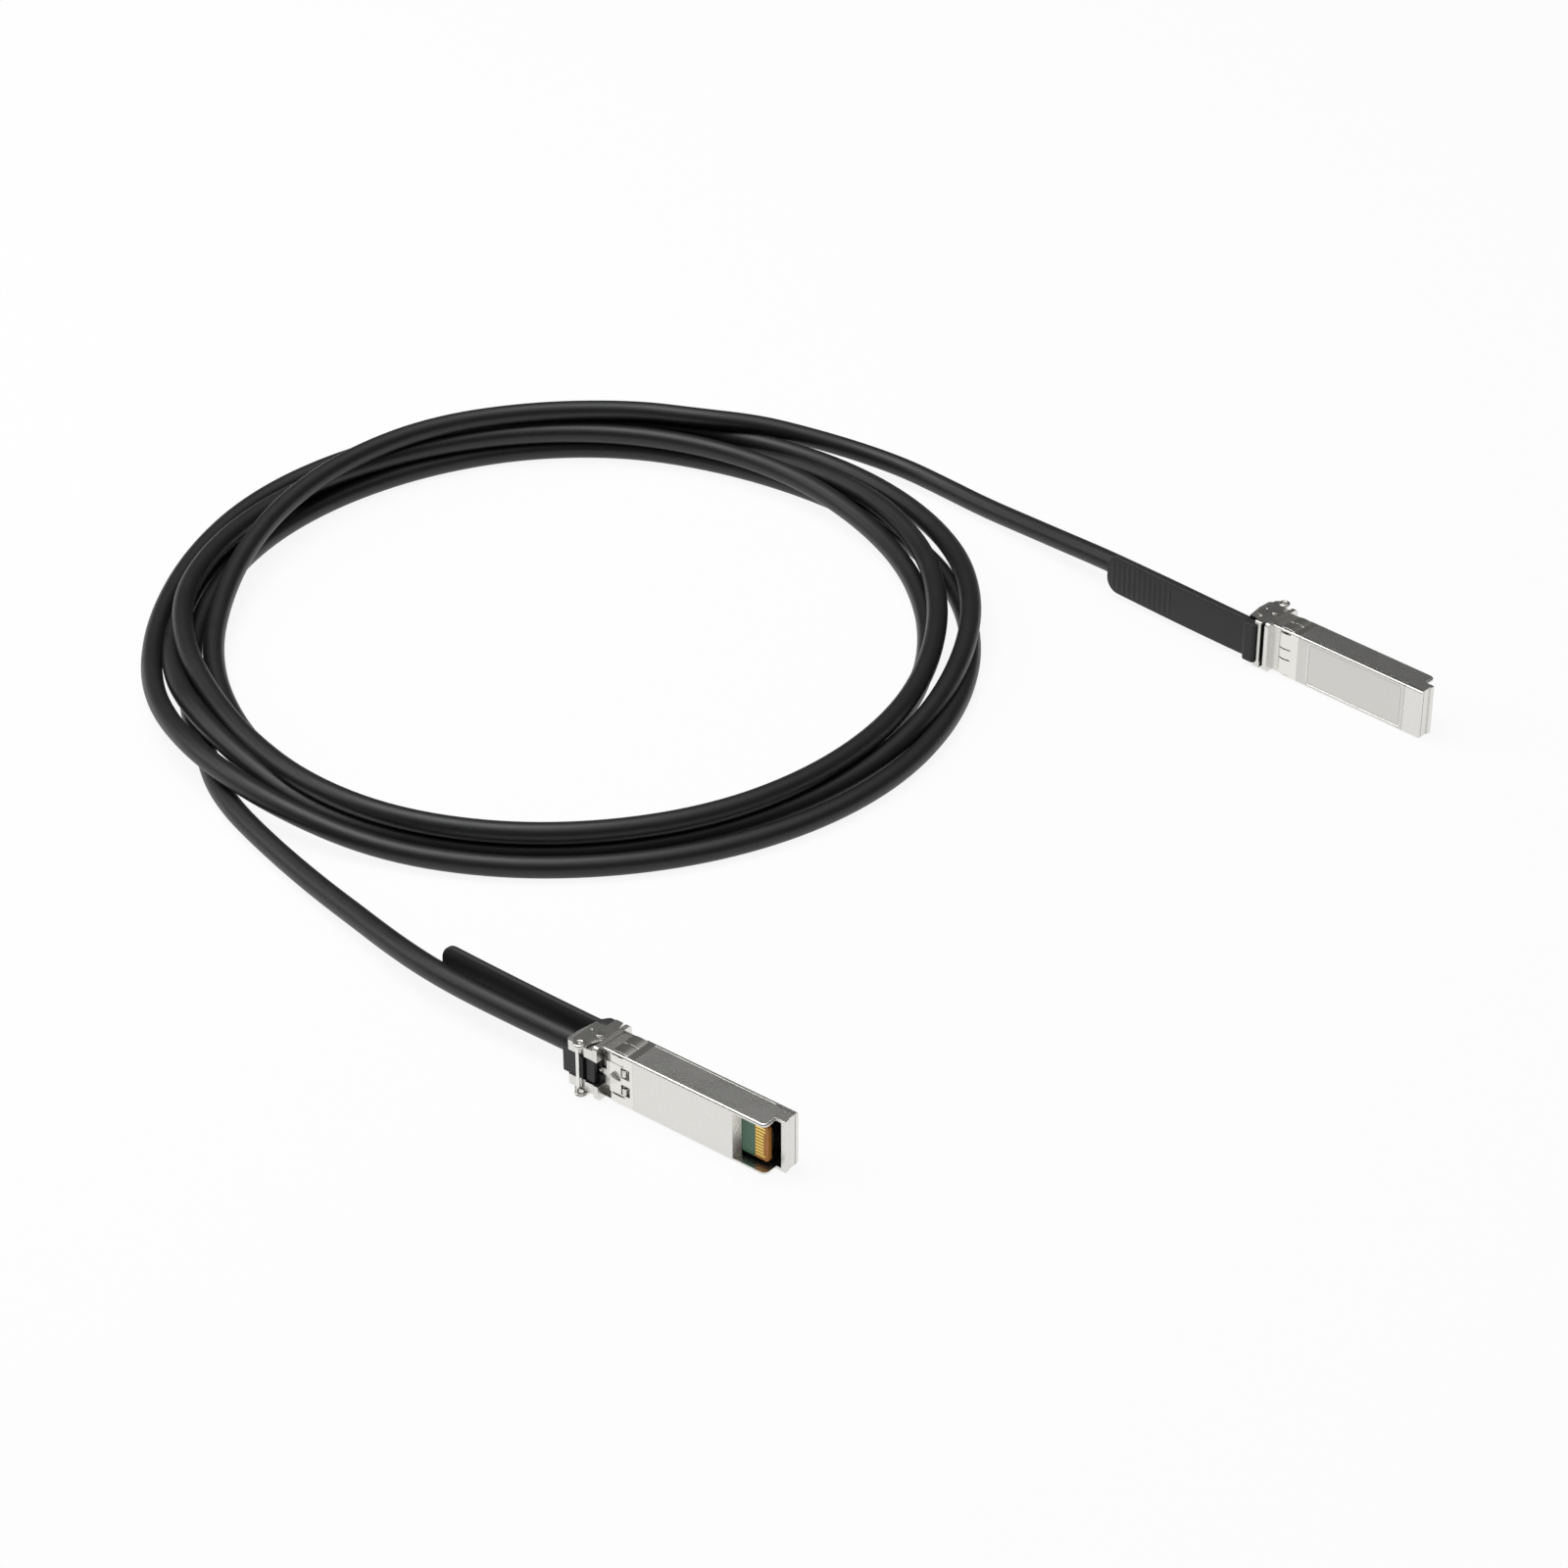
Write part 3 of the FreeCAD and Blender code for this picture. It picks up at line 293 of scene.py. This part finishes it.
def rounded_frame(material, x, z):
    """Distance outside the label recess's outline, which has rounded corners; negative inside."""
    squares = []
    for value, centre, half in ((x, RECESS_CENTRE_X, RECESS_HALF_X), (z, 0.0, RECESS_HALF_Z)):
        away = math_node(material, "ABSOLUTE", math_node(material, "SUBTRACT", value, centre))
        past = math_node(material, "SUBTRACT", away, half - RECESS_CORNER)
        squares.append(past)
    outside = [math_node(material, "MAXIMUM", past, 0.0) for past in squares]
    corner = math_node(material, "SQRT", math_node(material, "ADD",
                       math_node(material, "MULTIPLY", outside[0], outside[0]),
                       math_node(material, "MULTIPLY", outside[1], outside[1])))
    inside = math_node(material, "MINIMUM", math_node(material, "MAXIMUM", *squares), 0.0)
    return math_node(material, "SUBTRACT", math_node(material, "ADD", corner, inside), RECESS_CORNER)


def casting(name, plug, tint, mottle, rough, recess=False):
    """Nickel-plated casting: blasted grain, painted shade along the seam between lid and housing, and on the lid
    a painted highlight along the recess's edge with painted shade just inside it.
    """
    material, output, place = blank(name + "_" + plug)
    x, y, z = plug_place(material, place, plug)
    fine = add(material, "TexNoise", Vector=place, Scale=1 / (GRAIN * MM), Detail=2.0, Roughness=0.7)
    wide = add(material, "TexNoise", Vector=place, Scale=1 / (5.0 * MM), Detail=4.0, Roughness=0.55)
    tone = add(material, "MixRGB", Fac=fine.outputs["Fac"], Color1=colour(tint), Color2=colour(mottle))
    # painted shade: a dark line along the gap of the seam between lid and housing
    painted_seam_shade = math_node(material, "COMPARE", y, SEAM_Y, 0.07)
    seam_shaded_tone = add(material, "MixRGB", Fac=painted_seam_shade, Color1=tone.outputs["Color"], Color2=colour("#3a3a38"))
    last = seam_shaded_tone
    gloss = spread(material, wide.outputs["Fac"], rough - 0.03, rough + 0.04)
    if recess:
        # painted highlight: a near-white line along the recess's edge; painted shade: a darker band just inside
        # it
        away = rounded_frame(material, x, z)
        painted_recess_highlight = math_node(material, "COMPARE", away, 0.02, 0.13)
        shade = math_node(material, "COMPARE", away, -0.2, 0.09)
        dark = add(material, "MixRGB", Fac=math_node(material, "MULTIPLY", shade, 0.45),
                   Color1=seam_shaded_tone.outputs["Color"], Color2=colour("#4c4c4a"))
        last = add(material, "MixRGB", Fac=math_node(material, "MULTIPLY", painted_recess_highlight, 0.8),
                   Color1=dark.outputs["Color"], Color2=colour("#fbfaf6"))
    finish_of(material, output, last.outputs["Color"], gloss, fine.outputs["Fac"], GRAIN_DEPTH * MM, 0.15,
              Metallic=1.0)
    return material


# the lid's recess and seam, in the plug's own frame, mm
RECESS_CENTRE_X = 26.85
RECESS_HALF_X = 14.85
RECESS_HALF_Z = 5.85
RECESS_CORNER = 0.8
SEAM_Y = 3.23
GRAIN = 0.34
GRAIN_DEPTH = 0.045
MASK_END = 41.1
FINISH = {
    "spring_steel": metal("nickel_plated_spring_sheet", "#e9e7e1", 0.2, 0.15, 0.004, 0.05, edge=0.08),
    "stamped_steel": metal("stamped_stainless_sheet", "#dad9d4", 0.24, 0.2, 0.01, 0.06, edge=0.14),
    "steel_wire": metal("drawn_stainless_wire", "#e8e7e2", 0.12, 0.1, 0.003, 0.04, edge=0.0),
    "rivet_steel": metal("turned_steel_rivet", "#dcdbd6", 0.2, 0.1, 0.003, 0.05, edge=0.1),
    "black_plastic": moulded("black_glass_filled_nylon", "#1d1d1f", 0.46, 0.12, 0.004, "#242426", edge=0.12),
    "strap_elastomer": moulded("black_thermoplastic_elastomer", "#212123", 0.58, 0.1, 0.006, "#28282a"),
    "cable_jacket": moulded("black_pvc_jacket", "#161618", 0.42, 0.6, 0.006, "#1c1c1e"),
    "ferrule_brass": metal("plain_brass_ferrule", "#c9a860", 0.3, 0.2, 0.004),
    "wire_insulation": moulded("foamed_polyethylene_insulation", "#3c5f9c", 0.45, 0.3, 0.002, "#43689f"),
    "gold_plate": metal("hard_gold_plating", "#f8dc78", 0.3, 0.1, 0.002, 0.05, edge=0.0),
    "chip_package": moulded("black_epoxy_package", "#222224", 0.5, 0.06, 0.003, "#29292b"),
    "ceramic": moulded("tan_ceramic_capacitor", "#a58a68", 0.5, 0.2, 0.003, "#b09572"),
}
PLUG_FINISH = {}
for plug in PLUGS:
    PLUG_FINISH["cast_zinc", plug] = casting("nickel_plated_zinc", plug, "#d9d8d4", "#e8e7e3", 0.27)
    PLUG_FINISH["cover_metal", plug] = casting("nickel_plated_lid", plug, "#cbcac6", "#dad9d5", 0.29, recess=True)
    PLUG_FINISH["circuit_board", plug] = board(plug)


# ---------------------------------------------------------------- pull straps
# Each strap is one soft moulding: toe and raised block at the lever, a flat run, a ribbed grip.
# Its section is swept along stations of the plug's x, and bends with the strap's own bow.

STRAP_INNER = 3.7
STRAP_HALF_WIDTH = 5.4
STRAP_THICK = 1.5
STRAP_END_ROUND = 3.6
STRAP_EDGE = 0.42
STRAP_BOW_START = -8.1
STRAP_END = -55.6
STRAP_BOW = {"a": 0.9, "b": -1.1}
RIBS = [-53.4 + 1.8 * i for i in range(12)]
RIB_HEIGHT = 0.2

# x, height of the top face above the strap's inner face; the toe first, then the block
STRAP_FRONT = [
    (-1.6, 0.5), (-1.66, 0.95), (-1.8, 1.17), (-2.0, 1.2), (-2.2, 1.17), (-2.36, 0.95), (-2.44, 0.68),
    (-2.7, 0.6), (-3.3, 0.6), (-3.56, 0.72), (-3.62, 1.2), (-3.63, 2.0), (-3.66, 2.6), (-3.76, 2.9),
    (-3.95, 3.1), (-4.2, 3.19), (-4.6, 3.2), (-5.6, 3.2), (-6.5, 3.2), (-6.8, 3.16), (-7.1, 2.98),
    (-7.4, 2.64), (-7.75, 2.1), (-8.0, 1.72), (-8.3, 1.54), (-8.7, 1.5),
]


def strap_stations():
    """x, top height, half width and rib fade for each ring of the strap, front to back."""
    stations = [(x, top, STRAP_HALF_WIDTH, 0.0) for x, top in STRAP_FRONT]
    x = -9.2
    while x > STRAP_END + STRAP_END_ROUND:
        near = min(abs(x - rib) for rib in RIBS)
        stations.append((x, STRAP_THICK, STRAP_HALF_WIDTH, max(0.0, 1 - (near / 0.62) ** 2)))
        x -= 0.15 if x < RIBS[-1] + 1.2 else 0.9
    steps = 28
    for i in range(steps):
        turn = math.pi / 2 * i / steps
        x = STRAP_END + STRAP_END_ROUND * (1 - math.sin(turn))
        half = STRAP_HALF_WIDTH - STRAP_END_ROUND * (1 - math.cos(turn))
        near = min(abs(x - rib) for rib in RIBS)
        stations.append((x, STRAP_THICK, half, max(0.0, 1 - (near / 0.62) ** 2)))
    stations.append((STRAP_END - 0.0, STRAP_THICK, STRAP_HALF_WIDTH - STRAP_END_ROUND - 0.2, 0.0))
    return stations


def section(top, half, rib):
    """Ring of (height, across): a flat bar with soft corners and a low rib across its top."""
    corner = min(STRAP_EDGE, top / 2 - 0.01)
    ring = []
    for side, level, first in ((1, 0.0, -90), (1, top, 0), (-1, top, 90), (-1, 0.0, 180)):
        for step in range(5):
            angle = math.radians(first + 22.5 * step)
            centre = corner if level == 0.0 else top - corner
            ring.append((centre + corner * math.sin(angle), side * (half - corner) + corner * math.cos(angle)))
        if level == top and side == 1:
            margin = min(half - corner, half - 0.9)
            for step in range(9):
                across = margin * (1 - 2 * step / 8)
                fade = 1.0 if abs(across) < margin - 0.1 else 0.0
                ring.append((top + RIB_HEIGHT * rib * fade, across))
    return ring


def strap_mesh(plug):
    """The strap of one plug as one closed mesh, in the row's own place."""
    bow = STRAP_BOW[plug]
    run = STRAP_BOW_START - STRAP_END
    radius = (run ** 2 + bow ** 2) / (2 * bow)
    mesh = bmesh.new()
    rings = []
    for x, top, half, rib in strap_stations():
        turn = math.asin((STRAP_BOW_START - x) / radius) if x < STRAP_BOW_START else 0.0
        ring = []
        for height, across in section(top, half, rib):
            if x < STRAP_BOW_START:
                point = Vector((STRAP_BOW_START - (radius - height) * math.sin(turn),
                                STRAP_INNER + radius - (radius - height) * math.cos(turn), across))
            else:
                point = Vector((x, STRAP_INNER + height, across))
            ring.append(mesh.verts.new(PLUG_FRAME[plug] @ (point * MM)))
        rings.append(ring)
    for before, after in zip(rings, rings[1:]):
        for i in range(len(before)):
            j = (i + 1) % len(before)
            mesh.faces.new((before[i], before[j], after[j], after[i]))
    mesh.faces.new(rings[0][::-1])
    mesh.faces.new(rings[-1])
    bmesh.ops.recalc_face_normals(mesh, faces=mesh.faces)
    data = bpy.data.meshes.new("pull_strap_" + plug)
    mesh.to_mesh(data)
    mesh.free()
    for face in data.polygons:
        face.use_smooth = True
    return data


for plug in PLUGS:
    strap = bpy.data.objects.new("pull_strap_" + plug, strap_mesh(plug))
    bpy.context.scene.collection.objects.link(strap)
    strap.data.materials.append(FINISH["strap_elastomer"])
    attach(strap, "strap_" + plug)
    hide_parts("plug_" + plug + "_pull_strap")


# ---------------------------------------------------------------- contact pads and eye rims

PAD_WIDTH = 0.4
PAD_PITCH = 0.8
PAD_REAR = 41.25
PAD_THICK = 0.04
CARD_FACES = (-2.0 - PAD_THICK, -1.0)
EYE = (-4.6, -6.25)
EYE_RIM_HEIGHT = 6.55


def settle(name, mesh, plug, body, slot):
    """Finishes a mesh built in a plug's own frame, in mm, and gives it its body and the material of its slot."""
    bmesh.ops.recalc_face_normals(mesh, faces=mesh.faces)
    data = bpy.data.meshes.new(name)
    mesh.to_mesh(data)
    mesh.free()
    data.transform(PLUG_FRAME[plug] @ Matrix.Scale(MM, 4))
    made = bpy.data.objects.new(name, data)
    bpy.context.scene.collection.objects.link(made)
    data.materials.append(FINISH[slot])
    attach(made, body)
    return made


def pads(plug):
    """Ten plated pads on each face of the card's tongue, the outer and the power pads longer."""
    mesh = bmesh.new()
    for face in CARD_FACES:
        for i in range(10):
            front = 43.9 if i in (0, 8, 9) else 43.45
            size = (front - PAD_REAR, PAD_THICK, PAD_WIDTH)
            centre = ((front + PAD_REAR) / 2, face + PAD_THICK / 2, (i - 4.5) * PAD_PITCH)
            bmesh.ops.create_cube(mesh, size=1.0, matrix=Matrix.Translation(centre)
                                  @ Matrix.Diagonal((*size, 1.0)))
    made = settle("contact_pads_" + plug, mesh, plug, "base", "gold_plate")
    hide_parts("plug_" + plug + "_contact_pads")


def eye_rims(plug):
    """The rolled rims round the wire's eyes, one on each plate of the lever."""
    mesh = bmesh.new()
    for side in (-1, 1):
        rows = []
        for i in range(40):
            turn = 2 * math.pi * i / 40
            row = []
            for j in range(14):
                roll = 2 * math.pi * j / 14
                reach = 1.12 + 0.41 * math.cos(roll)
                row.append(mesh.verts.new((EYE[0] + reach * math.cos(turn), EYE[1] + reach * math.sin(turn),
                                           side * EYE_RIM_HEIGHT + 0.41 * math.sin(roll))))
            rows.append(row)
        for i, row in enumerate(rows):
            after = rows[(i + 1) % len(rows)]
            for j in range(14):
                k = (j + 1) % 14
                mesh.faces.new((row[j], after[j], after[k], row[k])).smooth = True
    settle("eye_rims_" + plug, mesh, plug, "lever_" + plug, "stamped_steel")


for plug in PLUGS:
    pads(plug)
    eye_rims(plug)


# ---------------------------------------------------------------- pieces that keep their CAD mesh

for part in frame["record"]["subparts"]:
    node = nodes[part["node"]]
    slot = part["material_slot"]
    plug = part["node"][5]
    node.data.materials.clear()
    node.data.materials.append(PLUG_FINISH.get((slot, plug)) or FINISH[slot])

cable.data.materials.append(FINISH["cable_jacket"])


# ---------------------------------------------------------------- floor and light

def backdrop_material():
    """Pale floor that shows as plain white to the camera and in reflections, but keeps the shadow."""
    material, output, place = blank("white_sweep")
    links = material.node_tree.links
    paper = add(material, "BsdfDiffuse", Color=colour("#f8f8f8"))
    glow = add(material, "Emission", Color=(1, 1, 1, 1), Strength=1.0)
    rays = add(material, "LightPath")
    seen = add(material, "Math", operation="MAXIMUM")
    links.new(rays.outputs["Is Camera Ray"], seen.inputs[0])
    links.new(rays.outputs["Is Glossy Ray"], seen.inputs[1])
    share = add(material, "Math", operation="MULTIPLY")
    links.new(seen.outputs["Value"], share.inputs[0])
    share.inputs[1].default_value = 0.9
    mix = add(material, "MixShader", Fac=share.outputs["Value"])
    links.new(paper.outputs["BSDF"], mix.inputs[1])
    links.new(glow.outputs["Emission"], mix.inputs[2])
    links.new(mix.outputs["Shader"], output.inputs["Surface"])
    return material


floor_mesh = bpy.data.meshes.new("floor")
reach = 4.0
floor_mesh.from_pydata([(-reach, -reach, FLOOR), (reach, -reach, FLOOR), (reach, reach, FLOOR),
                        (-reach, reach, FLOOR)], [], [(0, 1, 2, 3)])
floor = bpy.data.objects.new("floor", floor_mesh)
bpy.context.scene.collection.objects.link(floor)
floor.data.materials.append(backdrop_material())

world = bpy.data.worlds.new("studio")
bpy.context.scene.world = world
world.use_nodes = True
tree = world.node_tree
tree.nodes.clear()
direction = tree.nodes.new("ShaderNodeTexCoord")
parts = tree.nodes.new("ShaderNodeSeparateXYZ")
tree.links.new(direction.outputs["Generated"], parts.inputs[0])
ceiling = tree.nodes.new("ShaderNodeMapRange")
ceiling.interpolation_type = "SMOOTHSTEP"
tree.links.new(parts.outputs["Z"], ceiling.inputs["Value"])
ceiling.inputs["From Min"].default_value = 0.66
ceiling.inputs["From Max"].default_value = 0.95
ceiling.inputs["To Min"].default_value = 0.1
ceiling.inputs["To Max"].default_value = 1.1
sky = tree.nodes.new("ShaderNodeBackground")
sky.inputs["Color"].default_value = (1, 1, 1, 1)
tree.links.new(ceiling.outputs["Result"], sky.inputs["Strength"])
white = tree.nodes.new("ShaderNodeBackground")
white.inputs["Color"].default_value = (1, 1, 1, 1)
white.inputs["Strength"].default_value = 1.0
choose = tree.nodes.new("ShaderNodeMixShader")
rays = tree.nodes.new("ShaderNodeLightPath")
target = tree.nodes.new("ShaderNodeOutputWorld")
tree.links.new(rays.outputs["Is Camera Ray"], choose.inputs[0])
tree.links.new(sky.outputs["Background"], choose.inputs[1])
tree.links.new(white.outputs["Background"], choose.inputs[2])
tree.links.new(choose.outputs["Shader"], target.inputs["Surface"])


def softbox(name, place, aim, width, height, power):
    """A rectangular studio lamp aimed at a point."""
    data = bpy.data.lights.new(name, "AREA")
    data.shape = "RECTANGLE"
    data.size = width
    data.size_y = height
    data.energy = power
    lamp = bpy.data.objects.new(name, data)
    bpy.context.scene.collection.objects.link(lamp)
    lamp.location = place
    lamp.rotation_euler = (Vector(aim) - Vector(place)).to_track_quat("-Z", "Y").to_euler()
    return lamp


middle = (-0.05, 0.12, 0)
softbox("key_above", (-0.5, 0.0, 1.3), middle, 0.9, 0.9, 9.0)
softbox("fill_left", (-1.2, -0.5, 0.7), middle, 0.8, 0.8, 4.0)

bpy.context.scene.view_settings.view_transform = "Standard"
